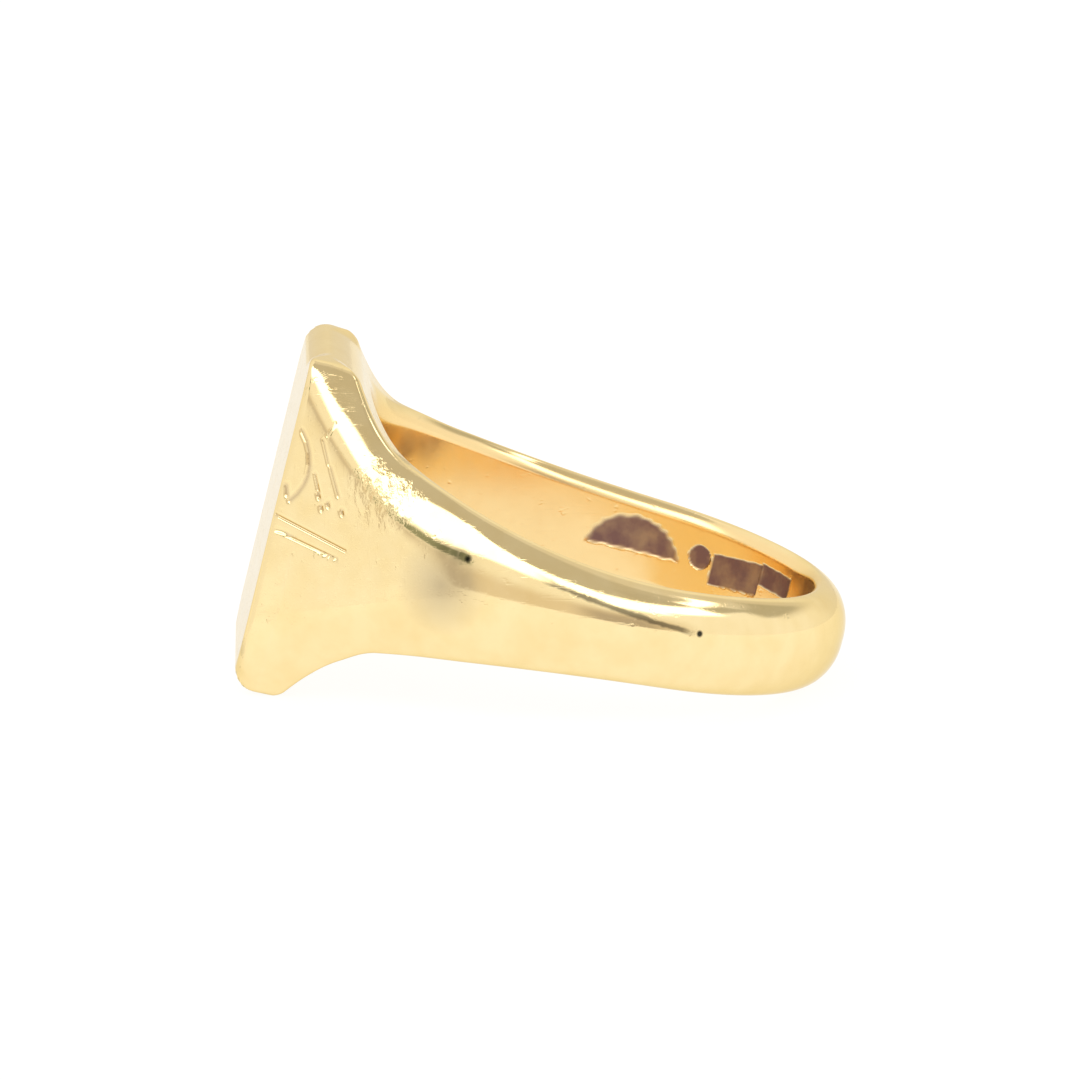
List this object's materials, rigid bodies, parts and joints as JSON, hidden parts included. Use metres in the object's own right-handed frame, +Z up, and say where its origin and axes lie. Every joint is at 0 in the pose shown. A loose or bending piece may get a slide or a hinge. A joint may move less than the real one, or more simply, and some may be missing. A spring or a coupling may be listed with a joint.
{
  "type": "signet ring",
  "caption": "Signet ring: flat bevel-cornered table on a solid head, tapered shoulders and a D-section shank, lying on its side; polished yellow gold.",
  "frame": {"origin": "centre of the finger bore, half way through the ring's width", "axes": "+Z up as the ring lies on its side; +X horizontal, from the table's side of the ring to the back of its shank; +Y across the finger. The finger bore's axis leans from +Z toward +X by the resting tilt of 13.10 degrees"},
  "size_m": [0.0232, 0.0208, 0.0128],
  "materials": {
    "yellow_gold": "polished",
    "gold_solder": "polished"
  },
  "bodies": {
    "root": {"signet_table": "yellow_gold", "head_block": "yellow_gold", "near_shoulder": "yellow_gold", "far_shoulder": "yellow_gold", "shank_band": "yellow_gold", "table_solder": "gold_solder", "near_head_solder": "gold_solder", "far_head_solder": "gold_solder", "near_shank_solder": "gold_solder", "far_shank_solder": "gold_solder"}
  },
  "joints": []
}
